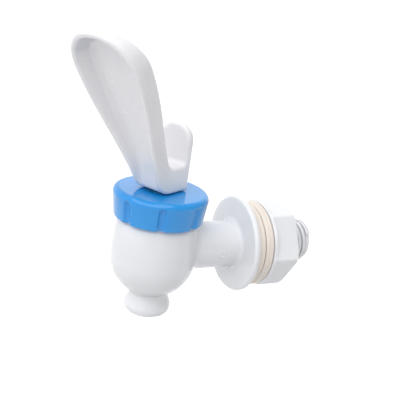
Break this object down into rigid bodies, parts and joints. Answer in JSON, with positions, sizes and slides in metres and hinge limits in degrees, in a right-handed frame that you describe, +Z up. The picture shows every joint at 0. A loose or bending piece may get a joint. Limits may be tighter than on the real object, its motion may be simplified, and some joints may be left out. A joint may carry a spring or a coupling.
{
  "type": "lever tap for a water dispenser",
  "caption": "Plastic lever tap for a drinks or water dispenser: bulb body with spout, blue collar, sprung lever, threaded inlet shank with washers and lock nut.",
  "frame": {"origin": "centre of the seat on the front of the dispenser's wall, on the inlet's axis", "axes": "+Y along the inlet, into the dispenser; +Z up along the tap's main axis, away from the spout; +X to the right seen from in front of the dispenser"},
  "size_m": [0.044, 0.0969, 0.0943],
  "materials": {
    "white_plastic": "moulded, glossy",
    "blue_plastic": "moulded, glossy",
    "cream_silicone": "satin",
    "clear_silicone": "satin, milky",
    "spring_steel": "drawn stainless wire"
  },
  "bodies": {
    "tap": {"tap_body": "white_plastic", "collar": "blue_plastic", "front_washer": "cream_silicone", "return_spring": "spring_steel"},
    "plug": {"seat_cup": "clear_silicone"},
    "stem": {"valve_stem": "white_plastic", "lever_pin": "white_plastic"},
    "lever": {"lever": "white_plastic"},
    "nut_washer": {"rear_washer": "cream_silicone"},
    "nut": {"lock_nut": "white_plastic"}
  },
  "joints": [
    {"name": "stem_lift", "type": "slide", "parent": "tap", "child": "plug", "axis": [0, 0, 1], "range_m": [0, 0.0022], "stiffness_N_per_m": 1190, "springref_m": -0.00666, "deforming": ["return_spring", "seat_cup"]},
    {"name": "lever_swivel", "type": "hinge", "parent": "plug", "child": "stem", "pos_m": [0, -0.03575, 0], "axis": [0, 0, 1], "continuous": true},
    {"name": "lever_press", "type": "hinge", "parent": "stem", "child": "lever", "pos_m": [0, -0.03575, 0.0254], "axis": [0.878, 0.4787, 0], "range_deg": [0, 30]},
    {"name": "nut_travel", "type": "slide", "parent": "tap", "child": "nut_washer", "axis": [0, 1, 0], "range_m": [0, 0.008]},
    {"name": "nut_turn", "type": "hinge", "parent": "nut_washer", "child": "nut", "pos_m": [0, 0, 0], "axis": [0, 1, 0], "range_deg": [0, 1440.1]}
  ],
  "couplings": [
    {"joint": "lever_press", "follows": "stem_lift", "rad_per_m": 238.1},
    {"joint": "nut_turn", "follows": "nut_travel", "rad_per_m": 3141.6}
  ]
}
